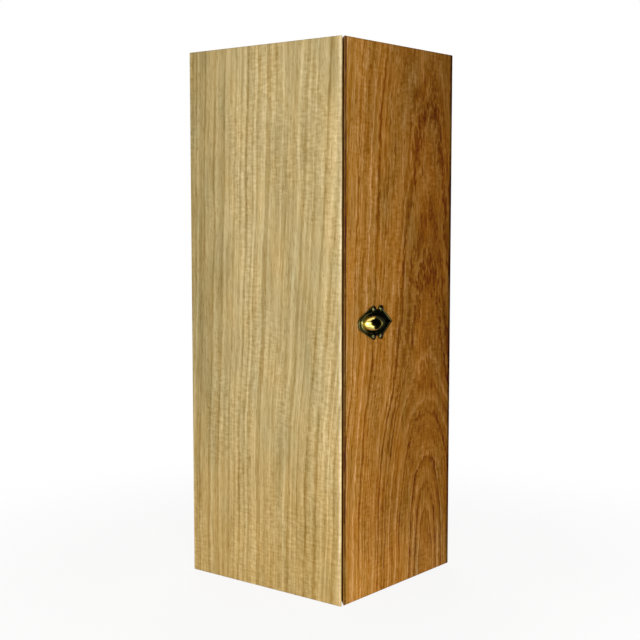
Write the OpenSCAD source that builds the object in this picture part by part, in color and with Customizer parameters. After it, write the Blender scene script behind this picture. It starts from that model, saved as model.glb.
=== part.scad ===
/* [Box] */
// Overall height of the box
box_h = 350; // [250:1:450]
// Overall width, measured across the door
box_w = 121; // [112:1:180]
// Overall depth, from the face of the door to the back
box_d = 129; // [118:1:200]
// Thickness of the two side boards
side_t = 9; // [8:0.5:14]
// Thickness of the top and bottom boards
end_t = 9; // [8:0.5:14]
// Thickness of the door
door_t = 9; // [8:0.5:14]
// Thickness of the back panel
back_t = 6; // [4:0.5:9]
// Chamfer that eases the outer edges of the boards
ease = 0.5; // [0.3:0.1:1]

/* [Door fit] */
// Gap between the back of the door and the front edges of the box
door_gap = 0.4; // [0.2:0.1:1]
// Height of the bottom of the door above the base
door_lift = 0.4; // [0.2:0.1:1]
// Gap between the mitred edge of the door and the mitred side board
mitre_gap = 1.2; // [0.6:0.1:2]
// Radius on the mitred tip of the side board
side_tip_r = 1; // [0.4:0.1:1.2]
// Radius on the mitred tip of the door
door_tip_r = 0.7; // [0.4:0.1:1.2]

/* [Joinery] */
// Width of the rebate in each side board that takes the back panel
rebate = 5; // [4:0.5:6]
// Diameter of the dowels in the top and bottom boards
dowel_d = 5; // [4:0.5:6]
// Length of a dowel
dowel_len = 18; // [14:1:24]
// How far a dowel goes into the side board
dowel_in_side = 6; // [4:0.5:7]
// Clearance round a dowel, a nail or a screw in its hole
hole_fit = 0.05; // [0.02:0.01:0.1]
// Shank diameter of the pins that hold the back panel
panel_pin_d = 1.4; // [1:0.1:2]
// Length of a panel pin
panel_pin_len = 16; // [12:1:25]
// Head diameter of a panel pin
panel_pin_head_d = 2.6; // [2.2:0.1:3.4]
// Thickness of a panel pin's head
panel_pin_head_h = 0.6; // [0.4:0.1:1]
// Number of panel pins up each side
panel_pin_count = 4; // [2:1:7]

/* [Bottle supports] */
// Thickness of the shelf that holds the neck of the bottle
shelf_t = 6; // [4:0.5:9]
// Distance from the top board down to the neck shelf
shelf_drop = 70; // [45:1:110]
// Depth of the grooves that carry the neck shelf
groove = 3; // [2:0.5:4]
// Width of the notch for the neck
neck_w = 34; // [30:1:42]
// Distance from the front edges of the box to the neck shelf and the base ring
setback = 8; // [6:1:12]
// Diameter of the hole in the base ring
ring_d = 84; // [76:1:88]
// Thickness of the base ring
ring_t = 8; // [6:0.5:12]
// Thickness of the felt pad
felt_t = 2; // [1.5:0.5:3]
// Gap round the felt pad
felt_fit = 0.3; // [0.1:0.1:1]

/* [Hinges] */
// Height of a hinge
hinge_h = 30; // [24:1:40]
// Distance from the top or bottom of the box to the middle of a hinge
hinge_inset = 52; // [35:1:80]
// Width of a leaf on the wood
leaf_w = 8; // [6.5:0.1:8]
// Thickness of a leaf
leaf_t = 1; // [0.9:0.1:1.4]
// Clearance above and below a leaf in its recess
leaf_fit = 0.1; // [0.05:0.05:0.3]
// Outside diameter of the knuckles
knuckle_d = 4; // [3.8:0.1:5]
// Gap between the knuckles and the edge of the wood
knuckle_gap = 0.3; // [0.2:0.05:0.6]
// Number of knuckles
knuckle_count = 5; // [3:2:7]
// Gap between one knuckle and the next
knuckle_play = 0.15; // [0.1:0.05:0.3]
// Diameter of a hinge pin
hinge_pin_d = 1.8; // [1.4:0.1:2]
// Running clearance round a hinge pin
hinge_pin_fit = 0.05; // [0.02:0.01:0.1]
// Diameter of the domed head at each end of a hinge pin
hinge_pin_head_d = 3; // [2.4:0.1:3.4]
// Height of the domed head at each end of a hinge pin
hinge_pin_head_h = 0.9; // [0.6:0.1:1.2]
// Spacing of the two screws in a leaf
screw_spacing = 18; // [10:1:19]
// Shank diameter of a small screw
screw_d = 1.8; // [1.4:0.1:2]
// Head diameter of a small screw
screw_head_d = 3.5; // [3:0.1:3.6]
// Length of a hinge screw in a side board
side_screw_len = 13; // [8:1:20]
// Length of a hinge screw in the door
door_screw_len = 6.5; // [5:0.5:7]

/* [Catches] */
// Diameter of a catch magnet
magnet_d = 6; // [4:0.5:6]
// Length of a catch magnet
magnet_len = 5; // [3:0.5:8]
// Distance from the inside of the mitred side board to the middle of a magnet
magnet_inset = 13; // [11:1:25]
// Diameter of a strike disc on the door
strike_d = 6.5; // [6:0.5:7]
// Thickness of a strike disc
strike_t = 1; // [0.9:0.1:1.6]
// Length of the screw through a strike disc
strike_screw_len = 6.5; // [4:0.5:7]

/* [Knob] */
// Distance from the free edge of the door to the middle of the knob
knob_in = 29.6; // [26:0.2:50]
// Height of the middle of the knob above the base
knob_up = 175.5; // [120:0.5:220]
// Length of the knob
knob_len = 20.6; // [18:0.2:22]
// Height of the knob across its middle, which is twice its projection
knob_h = 10.6; // [9.6:0.2:12]
// Fullness of the outline of the knob, where 2 is an ellipse
knob_fullness = 2.4; // [2:0.1:2.6]
// Diameter of the screw that holds the knob
knob_screw_d = 3; // [2.5:0.5:3.5]
// Depth of the screw in the knob
knob_screw_in = 3.6; // [2.5:0.1:3.8]
// Clearance round the knob screw in the door and the backplate
knob_screw_fit = 0.2; // [0.1:0.05:0.4]
// Head diameter of the knob screw
knob_screw_head_d = 6; // [5.5:0.5:7]
// Head height of the knob screw
knob_screw_head_h = 1.8; // [1.5:0.1:2.4]
// Diameter of the washer under the head of the knob screw
washer_d = 8; // [7.5:0.5:10]
// Thickness of the washer
washer_t = 0.6; // [0.4:0.1:1]

/* [Backplate] */
// Length of the backplate, from its blunt end to its point
plate_w = 36; // [33:1:44]
// How far the middle of the backplate lies beyond the middle of the knob, towards the hinges
plate_shift = 3.6; // [2:0.2:4.4]
// Height of the backplate over its lobes
plate_h = 21.6; // [20.4:0.2:26]
// Thickness of the backplate
plate_t = 1; // [0.6:0.1:1.6]
// Spacing of the lobes along the backplate
lobe_spacing = 7.8; // [7:0.1:9]
// How far the middle of the lobes lies beyond the middle of the backplate, towards its point
lobe_shift = 1.9; // [0:0.1:3]
// Diameter of a lobe
lobe_d = 4.8; // [4.2:0.1:5.4]
// Height of the raised seat on a lobe
lobe_rise = 0.5; // [0.3:0.1:0.8]
// How far the shoulders lie beyond the middle of the lobes next to the point
shoulder_out = 3.9; // [3:0.1:5]
// How far the shoulders lie below the middle of a lobe
shoulder_drop = 1.6; // [1:0.1:2]
// Radius of the blunt end of the backplate
blunt_r = 4.6; // [3:0.1:5.2]
// Shank diameter of the nails in the backplate
nail_d = 1.2; // [1:0.1:1.4]
// Length of the shank of a nail
nail_len = 7; // [5:0.5:8]
// Head diameter of a nail
nail_head_d = 2.2; // [1.8:0.1:2.4]
// Height of the head of a nail
nail_head_h = 0.8; // [0.5:0.1:1]
// Width of the raised seat that shows round the head of a nail
nail_seat_rim = 0.4; // [0.2:0.1:0.4]

/* [Hidden] */
$fn = 64;

// Steps in a small arc and in the profile of the knob
arc_steps = 6;
knob_steps = 18;
// What a cut runs past the face that it opens
past = 1;
// Free depth at the blind end of a hole
end_play = 0.3;
// Diameter of the blunted point of a screw
point_d = 0.4;
// Slots in the heads of the small screws and of the knob screw
slot_w = 0.5;
slot_h = 0.4;
knob_slot_w = 0.8;

// Planes of the box: outside and inside of the sides, then front to back
x_left = -box_w / 2;
x_right = box_w / 2;
x_left_in = x_left + side_t;
x_right_in = x_right - side_t;
y_face = -box_d / 2;
y_door_back = y_face + door_t;
y_front = y_door_back + door_gap;
y_back = box_d / 2;
y_back_in = y_back - back_t;
z_ceiling = box_h - end_t;
end_mid_zs = [end_t / 2, box_h - end_t / 2];

// Half the angle of a mitred tip, and the shift of the door along X that leaves the mitre gap
tip_half = 22.5;
mitre_shift = mitre_gap * sqrt(2);

// Dowels: the two places along the depth of a board
inside_d = y_back_in - y_front;
dowel_ys = [y_front + inside_d / 4, y_back_in - inside_d / 4];

// Panel pins: up the two sides, and two in each end board
lip = side_t - rebate;
panel_pin_x = x_right - lip - rebate / 2;
panel_pin_pitch = (box_h - 2 * end_t) / panel_pin_count;
panel_pin_places = concat(
    [for (side = [-1, 1], i = [0:panel_pin_count - 1])
        [side * panel_pin_x, end_t + panel_pin_pitch * (i + 0.5)]],
    [for (side = [-1, 1], z = end_mid_zs) [side * box_w / 6, z]]
);

// Bottle supports
bottle_y = (y_front + y_back_in) / 2;
support_front = y_front + setback;
shelf_top = z_ceiling - shelf_drop;

// Hinges, and the taper under the head of a small screw
knuckle_r = knuckle_d / 2;
axis_x = x_right + knuckle_gap + knuckle_r;
axis_y = (y_door_back + y_front) / 2;
hinge_low = hinge_inset;
hinge_high = box_h - hinge_inset;
taper = (screw_head_d - screw_d) / 2;
hinge_screw_places = [
    for (z = [hinge_low, hinge_high], side = [-1, 1]) [x_right - leaf_w / 2, z + side * screw_spacing / 2]
];
knuckle_pitch = hinge_h / knuckle_count;

// Catches
strike_places = [for (z = end_mid_zs) [x_left_in + magnet_inset, z]];

// Knob and backplate. The places on the backplate are measured from its own middle
knob_x = x_left + knob_in;
plate_x = knob_x + plate_shift;
plate_face = y_face - plate_t;
counterbore = knob_screw_head_h + washer_t;
knob_hole_end = plate_face - knob_screw_in - end_play;
knob_head_back = y_door_back - knob_screw_head_h;
knob_slot_floor = y_door_back - knob_screw_head_h / 2;
lobe_xs = [for (side = [-1, 1]) lobe_shift + side * lobe_spacing / 2];
lobe_z = (plate_h - lobe_d) / 2;
blunt_middle = [blunt_r - plate_w / 2, 0];
first_lobe = [lobe_xs[0], lobe_z];
last_lobe = [lobe_xs[1], lobe_z];
shoulder = last_lobe + [shoulder_out, -shoulder_drop];
nail_seat = plate_t + lobe_rise;
nail_seat_d = nail_head_d + 2 * nail_seat_rim;
nail_end = y_face - nail_seat + nail_len;
nail_places = [for (x = lobe_xs, side = [-1, 1]) [x, side * lobe_z]];

// The backplate's straight edge touches its blunt end and its first lobe, and faces this way
edge_turn = atan2(lobe_z, first_lobe[0] - blunt_middle[0])
    + acos((blunt_r - lobe_d / 2) / norm(first_lobe - blunt_middle));
edge_out = [cos(edge_turn), sin(edge_turn)];

// Points along an arc from one angle to another
function arc(c, r, from, to) = [
    for (i = [0:arc_steps]) let (a = from + (to - from) * i / arc_steps) c + r * [cos(a), sin(a)]
];

// Outline of a rectangle with its corners cut off
function eased(x0, y0, x1, y1) = [
    [x0 + ease, y0], [x1 - ease, y0], [x1, y0 + ease], [x1, y1 - ease],
    [x1 - ease, y1], [x0 + ease, y1], [x0, y1 - ease], [x0, y0 + ease],
];

// Outline of the knob's profile, as radius and place along its length
function knob_profile() = [
    for (i = [0:knob_steps]) let (a = 180 * i / knob_steps, c = cos(a), p = 2 / knob_fullness)
        [knob_h / 2 * pow(sin(a), p), knob_len / 2 * sign(c) * pow(abs(c), p)]
];

// A block between two opposite corners
module block(low, high) {
    translate(low) cube(high - low);
}

// A rod along Y, centred on a place given as [x, z]
module rod(place, d, from, to) {
    translate([place[0], from, place[1]]) rotate([-90, 0, 0]) cylinder(d = d, h = to - from);
}

// A dome on the XY plane
module dome(d, h) {
    rotate_extrude() polygon(concat([[0, 0]], [
        for (i = [0:arc_steps]) let (a = 90 * i / arc_steps) [d / 2 * cos(a), h * sin(a)]
    ]));
}

// A countersunk screw that points along -Z, with the top of its head at z = 0
module countersunk_screw(len) {
    difference() {
        union() {
            translate([0, 0, -taper]) cylinder(d1 = screw_d, d2 = screw_head_d, h = taper);
            translate([0, 0, -len + screw_d]) cylinder(d = screw_d, h = len - screw_d - taper);
            translate([0, 0, -len]) cylinder(d1 = point_d, d2 = screw_d, h = screw_d);
        }
        block([-screw_head_d, -slot_w / 2, -slot_h], [screw_head_d, slot_w / 2, past]);
    }
}

// The hole for a countersunk screw, in wood or brass
module countersunk_hole(len) {
    d = screw_d + 2 * hole_fit;
    translate([0, 0, -len - end_play]) cylinder(d = d, h = len + end_play);
    translate([0, 0, -taper]) cylinder(d1 = d, d2 = screw_head_d + 2 * hole_fit, h = taper);
    cylinder(d = screw_head_d + 2 * hole_fit, h = past);
}

// The outside of the box from a given height up, with its edges eased
module envelope(from) {
    intersection() {
        translate([0, y_back + past, 0])
            rotate([90, 0, 0])
                linear_extrude(box_d + 2 * past) polygon(eased(x_left, from, x_right, box_h));
        translate([x_left - past, 0, 0])
            rotate([90, 0, 90])
                linear_extrude(box_w + 2 * past) polygon(eased(y_face, from, y_back, box_h));
    }
}

// Holes for the dowels, seen from the inner face of the right side board
module dowel_holes(x_inner, side, depth) {
    d = dowel_d + 2 * hole_fit;
    for (z = end_mid_zs, y = dowel_ys)
        translate([x_inner, y, z])
            rotate([0, side * 90, 0])
                translate([0, 0, -past]) cylinder(d = d, h = depth + end_play + past);
}

// Dowels of one end board
module dowels(z) {
    for (side = [-1, 1], y = dowel_ys)
        translate([side * x_right_in, y, z])
            rotate([0, side * 90, 0])
                translate([0, 0, dowel_in_side - dowel_len]) cylinder(d = dowel_d, h = dowel_len);
}

// Holes for the shanks and heads of the panel pins
module panel_pin_holes() {
    for (place = panel_pin_places) {
        rod(place, panel_pin_d + 2 * hole_fit, y_back - panel_pin_len - end_play, y_back + past);
        rod(place, panel_pin_head_d + 2 * hole_fit, y_back - panel_pin_head_h, y_back + past);
    }
}

// The neck shelf without its notch, which is also the shape of its grooves
module shelf_board() {
    block(
        [x_left_in - groove, support_front, shelf_top - shelf_t],
        [x_right_in + groove, y_back_in, shelf_top]
    );
}

// The pilot holes of the hinge screws: along +Y into the side, along -Y into the door
module hinge_screw_holes(y, len, turn) {
    for (place = hinge_screw_places)
        translate([place[0], y, place[1]]) rotate([turn, 0, 0]) countersunk_hole(len);
}

// The recesses of both hinge leaves, from one depth to another
module hinge_recesses(from, to) {
    for (z = [hinge_low, hinge_high])
        block(
            [x_right - leaf_w, from, z - hinge_h / 2 - leaf_fit],
            [x_right + past, to, z + hinge_h / 2 + leaf_fit]
        );
}

// A hinge leaf between two depths, with every second knuckle from the first one given
module hinge_leaf(z, from, to, first) {
    bottom = z - hinge_h / 2;
    difference() {
        union() {
            block([x_right - leaf_w, from, bottom], [x_right, to, bottom + hinge_h]);
            for (i = [first:2:knuckle_count - 1]) {
                low = bottom + i * knuckle_pitch + (i == 0 ? 0 : knuckle_play / 2);
                high = bottom + (i + 1) * knuckle_pitch - (i == knuckle_count - 1 ? 0 : knuckle_play / 2);
                block([x_right - leaf_w / 2, from, low], [axis_x, to, high]);
                translate([axis_x, axis_y, low]) cylinder(r = knuckle_r, h = high - low);
            }
        }
        translate([axis_x, axis_y, bottom - past])
            cylinder(d = hinge_pin_d + 2 * hinge_pin_fit, h = hinge_h + 2 * past);
        if (first == 0)
            hinge_screw_holes(from, side_screw_len, 90);
        else
            hinge_screw_holes(to, door_screw_len, -90);
    }
}

// A hinge pin with a domed head at each end
module hinge_pin(z) {
    translate([axis_x, axis_y, z]) {
        translate([0, 0, -hinge_h / 2]) cylinder(d = hinge_pin_d, h = hinge_h);
        for (side = [0, 1])
            mirror([0, 0, side])
                translate([0, 0, hinge_h / 2]) dome(hinge_pin_head_d, hinge_pin_head_h);
    }
}

// A catch magnet, which stands out of the end board to meet its strike disc
module catch_magnet(place) {
    rod(place, magnet_d, y_door_back, y_door_back + magnet_len);
}

// The hole of a catch magnet
module magnet_hole(place) {
    rod(place, magnet_d + 2 * hole_fit, y_front - past, y_door_back + magnet_len);
}

// A strike disc with its countersunk hole
module strike_disc(place) {
    difference() {
        rod(place, strike_d, y_door_back - strike_t, y_door_back);
        translate([place[0], y_door_back, place[1]]) rotate([-90, 0, 0]) countersunk_hole(strike_screw_len);
    }
}

module left_side() {
    tip = [x_left + side_tip_r, y_face + side_tip_r / tan(tip_half)];
    color("burlywood") difference() {
        intersection() {
            linear_extrude(box_h) polygon(concat(arc(tip, side_tip_r, 180, 315), [
                [x_left_in, y_face + side_t], [x_left_in, y_back_in], [x_left + lip, y_back_in],
                [x_left + lip, y_back], [x_left + ease, y_back], [x_left, y_back - ease],
            ]));
            envelope(0);
        }
        dowel_holes(x_left_in, -1, dowel_in_side);
        panel_pin_holes();
        shelf_board();
    }
}

module right_side() {
    color("burlywood") difference() {
        intersection() {
            linear_extrude(box_h) polygon([
                [x_right_in, y_front], [x_right, y_front], [x_right, y_back - ease], [x_right - ease, y_back],
                [x_right - lip, y_back], [x_right - lip, y_back_in], [x_right_in, y_back_in],
            ]);
            envelope(0);
        }
        dowel_holes(x_right_in, 1, dowel_in_side);
        panel_pin_holes();
        shelf_board();
        hinge_recesses(y_front - past, y_front + leaf_t);
        hinge_screw_holes(y_front, side_screw_len, 90);
    }
}

module back_panel() {
    color("burlywood") difference() {
        intersection() {
            block([x_left + lip, y_back_in, 0], [x_right - lip, y_back, box_h]);
            envelope(0);
        }
        panel_pin_holes();
    }
}

// One end board, between the two sides
module end_board(z) {
    difference() {
        block([x_left_in, y_front, z - end_t / 2], [x_right_in, y_back_in, z + end_t / 2]);
        dowel_holes(x_left_in, 1, dowel_len - dowel_in_side);
        dowel_holes(x_right_in, -1, dowel_len - dowel_in_side);
        panel_pin_holes();
        for (place = strike_places) magnet_hole(place);
    }
}

module top_board() {
    color("burlywood") end_board(end_mid_zs[1]);
}

module bottom_board() {
    color("burlywood") end_board(end_mid_zs[0]);
}

module top_board_dowels() {
    color("tan") dowels(end_mid_zs[1]);
}

module bottom_board_dowels() {
    color("tan") dowels(end_mid_zs[0]);
}

module back_panel_pins() {
    color("gold") for (place = panel_pin_places) {
        rod(place, panel_pin_d, y_back - panel_pin_len, y_back);
        rod(place, panel_pin_head_d, y_back - panel_pin_head_h, y_back);
    }
}

module neck_shelf() {
    color("wheat") difference() {
        shelf_board();
        translate([0, bottle_y, shelf_top - shelf_t - past]) cylinder(d = neck_w, h = shelf_t + 2 * past);
        block(
            [-neck_w / 2, support_front - past, shelf_top - shelf_t - past],
            [neck_w / 2, bottle_y, shelf_top + past]
        );
    }
}

module bottle_base_ring() {
    color("wheat") difference() {
        block([x_left_in, support_front, end_t], [x_right_in, y_back_in, end_t + ring_t]);
        translate([0, bottle_y, end_t - past]) cylinder(d = ring_d, h = ring_t + 2 * past);
    }
}

module base_felt_pad() {
    color("darkred") translate([0, bottle_y, end_t]) cylinder(d = ring_d - 2 * felt_fit, h = felt_t);
}

module door_panel() {
    mitre_x = x_left + mitre_shift;
    tip = [mitre_x + door_tip_r / tan(tip_half), y_face + door_tip_r];
    color("peru") difference() {
        intersection() {
            linear_extrude(box_h) polygon(concat(arc(tip, door_tip_r, 135, 270), [
                [x_right - ease, y_face], [x_right, y_face + ease],
                [x_right, y_door_back], [mitre_x + door_t, y_door_back],
            ]));
            envelope(door_lift);
        }
        hinge_recesses(y_door_back - leaf_t, y_door_back + past);
        hinge_screw_holes(y_door_back, door_screw_len, -90);
        for (place = strike_places) {
            rod(place, strike_d + 2 * hole_fit, y_door_back - strike_t, y_door_back + past);
            translate([place[0], y_door_back, place[1]])
                rotate([-90, 0, 0]) countersunk_hole(strike_screw_len);
        }
        rod([knob_x, knob_up], knob_screw_d + 2 * knob_screw_fit, y_face - past, y_door_back + past);
        rod([knob_x, knob_up], washer_d + 2 * knob_screw_fit, y_door_back - counterbore, y_door_back + past);
        for (place = nail_places)
            rod([plate_x, knob_up] + place, nail_d + 2 * hole_fit, y_face - past, nail_end + end_play);
    }
}

// Half of the outline of the backplate, above its middle line
module plate_half() {
    polygon([
        [plate_w / 2, 0], shoulder, last_lobe + [lobe_d / 2, 0], last_lobe, first_lobe,
        first_lobe + lobe_d / 2 * edge_out, blunt_middle + blunt_r * edge_out, blunt_middle,
    ]);
    for (x = lobe_xs) translate([x, lobe_z]) circle(d = lobe_d);
}

module knob_backplate() {
    color("darkolivegreen") translate([plate_x, y_face, knob_up]) rotate([90, 0, 0]) difference() {
        union() {
            linear_extrude(plate_t) {
                plate_half();
                mirror([0, 1]) plate_half();
                translate(blunt_middle) circle(r = blunt_r);
            }
            for (place = nail_places)
                translate([place[0], place[1], 0]) cylinder(d = nail_seat_d, h = nail_seat);
        }
        translate([-plate_shift, 0, -past])
            cylinder(d = knob_screw_d + 2 * knob_screw_fit, h = plate_t + 2 * past);
        for (place = nail_places)
            translate([place[0], place[1], -past])
                cylinder(d = nail_d + 2 * hole_fit, h = nail_seat + 2 * past);
    }
}

module backplate_nails() {
    color("gold") translate([plate_x, y_face, knob_up]) rotate([90, 0, 0]) for (place = nail_places) {
        translate([place[0], place[1], nail_seat - nail_len]) cylinder(d = nail_d, h = nail_len);
        translate([place[0], place[1], nail_seat]) dome(nail_head_d, nail_head_h);
    }
}

module knob() {
    color("gold") difference() {
        intersection() {
            translate([knob_x, plate_face, knob_up])
                rotate([0, 90, 0])
                    rotate_extrude() polygon(knob_profile());
            block(
                [knob_x - knob_len, plate_face - knob_h, knob_up - knob_h],
                [knob_x + knob_len, plate_face, knob_up + knob_h]
            );
        }
        rod([knob_x, knob_up], knob_screw_d + 2 * hole_fit, knob_hole_end, plate_face + past);
    }
}

module knob_screw() {
    color("silver") difference() {
        union() {
            rod([knob_x, knob_up], knob_screw_d, plate_face - knob_screw_in, knob_slot_floor);
            translate([knob_x, knob_head_back, knob_up])
                rotate([-90, 0, 0]) dome(knob_screw_head_d, knob_screw_head_h);
        }
        block(
            [knob_x - knob_screw_head_d, knob_slot_floor, knob_up - knob_slot_w / 2],
            [knob_x + knob_screw_head_d, y_door_back + past, knob_up + knob_slot_w / 2]
        );
    }
}

module knob_washer() {
    color("silver") difference() {
        rod([knob_x, knob_up], washer_d, y_door_back - counterbore, knob_head_back);
        rod([knob_x, knob_up], knob_screw_d + 2 * hole_fit, y_door_back - counterbore - past, y_door_back);
    }
}

module upper_hinge_side_leaf() {
    color("gold") hinge_leaf(hinge_high, y_front, y_front + leaf_t, 0);
}

module upper_hinge_door_leaf() {
    color("gold") hinge_leaf(hinge_high, y_door_back - leaf_t, y_door_back, 1);
}

module upper_hinge_pin() {
    color("gold") hinge_pin(hinge_high);
}

module lower_hinge_side_leaf() {
    color("gold") hinge_leaf(hinge_low, y_front, y_front + leaf_t, 0);
}

module lower_hinge_door_leaf() {
    color("gold") hinge_leaf(hinge_low, y_door_back - leaf_t, y_door_back, 1);
}

module lower_hinge_pin() {
    color("gold") hinge_pin(hinge_low);
}

module side_hinge_screws() {
    color("gold") for (place = hinge_screw_places)
        translate([place[0], y_front, place[1]]) rotate([90, 0, 0]) countersunk_screw(side_screw_len);
}

module door_hinge_screws() {
    color("gold") for (place = hinge_screw_places)
        translate([place[0], y_door_back, place[1]]) rotate([-90, 0, 0]) countersunk_screw(door_screw_len);
}

module upper_catch_magnet() {
    color("silver") catch_magnet(strike_places[1]);
}

module lower_catch_magnet() {
    color("silver") catch_magnet(strike_places[0]);
}

module upper_strike_disc() {
    color("silver") strike_disc(strike_places[1]);
}

module lower_strike_disc() {
    color("silver") strike_disc(strike_places[0]);
}

module strike_disc_screws() {
    color("silver") for (place = strike_places)
        translate([place[0], y_door_back, place[1]]) rotate([-90, 0, 0]) countersunk_screw(strike_screw_len);
}

left_side();
right_side();
back_panel();
top_board();
bottom_board();
top_board_dowels();
bottom_board_dowels();
back_panel_pins();
neck_shelf();
bottle_base_ring();
base_felt_pad();
door_panel();
knob_backplate();
backplate_nails();
knob();
knob_screw();
knob_washer();
upper_hinge_side_leaf();
upper_hinge_door_leaf();
upper_hinge_pin();
lower_hinge_side_leaf();
lower_hinge_door_leaf();
lower_hinge_pin();
side_hinge_screws();
door_hinge_screws();
upper_catch_magnet();
lower_catch_magnet();
upper_strike_disc();
lower_strike_disc();
strike_disc_screws();
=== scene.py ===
"""Looks of a wooden wine box: solid-wood boards, a brass knob on its plate, hinges, catches and felt."""

import math
from typing import NamedTuple

import bpy
from bpy.props import FloatProperty, FloatVectorProperty, IntProperty, PointerProperty
from bpy.types import NodeSocket, Operator, Panel, PropertyGroup
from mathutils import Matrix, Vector


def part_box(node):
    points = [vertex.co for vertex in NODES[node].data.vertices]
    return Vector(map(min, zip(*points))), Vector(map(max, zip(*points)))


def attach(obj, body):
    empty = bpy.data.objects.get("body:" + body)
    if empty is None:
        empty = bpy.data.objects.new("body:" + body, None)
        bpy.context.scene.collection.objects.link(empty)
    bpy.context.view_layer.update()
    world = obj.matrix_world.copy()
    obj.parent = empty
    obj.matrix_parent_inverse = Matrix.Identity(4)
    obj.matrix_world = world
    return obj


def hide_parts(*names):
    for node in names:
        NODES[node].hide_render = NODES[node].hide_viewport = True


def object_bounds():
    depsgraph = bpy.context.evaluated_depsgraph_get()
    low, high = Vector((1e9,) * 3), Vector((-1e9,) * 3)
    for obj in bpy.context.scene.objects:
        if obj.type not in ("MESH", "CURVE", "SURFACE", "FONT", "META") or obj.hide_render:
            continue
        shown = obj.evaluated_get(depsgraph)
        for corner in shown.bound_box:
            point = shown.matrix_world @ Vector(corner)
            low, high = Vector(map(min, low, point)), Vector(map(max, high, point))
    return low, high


bl_info = {
    "name": "Wine Box",
    "version": (1, 0, 0),
    "blender": (4, 5, 0),
    "location": "3D View > Sidebar > Wine Box",
    "description": "Builds the looks of a wooden wine box around its construction model",
    "category": "Object",
}

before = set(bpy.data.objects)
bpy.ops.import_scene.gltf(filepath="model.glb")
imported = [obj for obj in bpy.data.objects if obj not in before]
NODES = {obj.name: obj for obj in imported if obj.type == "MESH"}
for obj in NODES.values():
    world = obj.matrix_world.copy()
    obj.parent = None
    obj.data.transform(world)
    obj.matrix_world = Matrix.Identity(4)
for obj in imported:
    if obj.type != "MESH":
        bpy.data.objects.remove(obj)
cad_low, cad_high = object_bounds()

MM = 0.001
MM_PER_M = 1000.0

# Places taken from the construction model
DOOR_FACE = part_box("door_panel")[0].y
KNOB_LOW, KNOB_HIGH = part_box("knob")
KNOB_MIDDLE = (KNOB_LOW + KNOB_HIGH) / 2
PLATE_LOW, PLATE_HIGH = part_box("knob_backplate")
NAILS_LOW, NAILS_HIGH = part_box("backplate_nails")
PAD_LOW, PAD_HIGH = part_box("base_felt_pad")


# Colour

DISPLAY_GAMMA = 2.2
FULL_LEVEL = 255.0

# Changes of tone, as shares of red, green and blue
EVEN = (1.0, 1.0, 1.0)
WARM = (1.1, 1.0, 0.9)
BLUE_TO_RED = (1.0, -0.1, -1.0)

# The darkest that a tint may leave a colour, as the eye sees it
DARKEST = (0.004, 0.004, 0.004)

WHITE = (1.0, 1.0, 1.0, 1.0)
FLOOR_GREY = (0.80, 0.80, 0.80, 1.0)
# Painted shade for the foot of the knob
KNOB_FOOT_SHADE = (0.02, 0.02, 0.01, 1.0)
DARK_SCREEN = (0.0015, 0.0025, 0.0015, 1.0)
BRIGHT_SCREEN = (0.96, 1.0, 1.1, 1.0)


def linear(red, green, blue):
    """A colour given in levels from 0 to 255, as the shaders count it."""
    return tuple((level / FULL_LEVEL) ** DISPLAY_GAMMA for level in (red, green, blue))


# Species of wood

# Growth lines that stand out: distance from the pith in millimetres, and strength, where less than 0 is pale
ASH_LINES = (
    (61, 0.5), (67, 0.5), (74, 1.0), (81, 0.6), (88, 0.8), (107, 0.7), (115, 0.5), (137, 1.0),
    (152, 0.5), (155, 0.6), (164, 0.6), (172, 1.0), (182, 0.5),
)
OAK_LINES = (
    (7, 0.5), (10, -0.4), (13, 0.9), (16, -0.5), (19, 1.0), (22, -0.4), (25, 0.3), (28, 0.3),
    (31.5, 1.0), (35.5, -0.5), (39, 0.5), (43, -0.3), (47.5, 0.8), (50.5, 0.9), (55, 0.8), (57.5, 0.3),
    (60, -0.5), (64, 0.4), (69, 0.5), (75, 1.1), (81.5, -0.4), (86, 0.5), (92, 0.5), (97, 0.4),
    (102, 0.4),
)

# Each level is a change of tone, as a share of full brightness. Rings are the whole run of uneven ones, and
# lines the few that stand out, with the share of them that is left where they fade. Waves and jags bend
# them. Streaks, fibres and pores lie along the grain, and their length is a stretch. The ripple lies across
# the grain, in patches. Drifts and hues are broad, a band is a broad dark run of rings, and the foot of a
# board is tinted. The foot's tone is painted light: the foot is made brighter, as if lit from the floor.
# tone_hue is the colour of the fine changes. Pitch, width, wave and jag are millimetres.
ASH = {
    "colour": "ash",
    "lines": ASH_LINES,
    "ring_pitch": 3.6,
    "ring_level": 0.32,
    "line_width": 1.3,
    "line_level": 0.13,
    "line_fade": 0.3,
    "wave": 1.8,
    "jag": 0.6,
    "streak_level": 0.14,
    "streak_length": 14,
    "fibre_level": 0.18,
    "fibre_length": 8,
    "pore_level": 0.10,
    "ripple_level": 0.21,
    "drift_level": 0.18,
    "hue_level": 0.05,
    "band_level": 0.03,
    "foot_tint": (0.028, -0.004, -0.043),
    "foot_light": 0.0,
    "tone_hue": (0.92, 1.0, 1.05),
}
OAK = {
    "colour": "oak",
    "lines": OAK_LINES,
    "ring_pitch": 1.5,
    "ring_level": 0.33,
    "line_width": 1.2,
    "line_level": 0.17,
    "line_fade": 0.5,
    "wave": 2.2,
    "jag": 1.9,
    "streak_level": 0.25,
    "streak_length": 10,
    "fibre_level": 0.17,
    "fibre_length": 7,
    "pore_level": 0.12,
    "ripple_level": 0.17,
    "drift_level": 0.10,
    "hue_level": 0.07,
    "band_level": 0.0,
    "foot_tint": (0.008, 0.0, -0.020),
    # Painted light: the door's foot is made brighter, as if lit from the floor
    "foot_light": 0.07,
    "tone_hue": (0.94, 1.0, 1.4),
}
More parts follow.
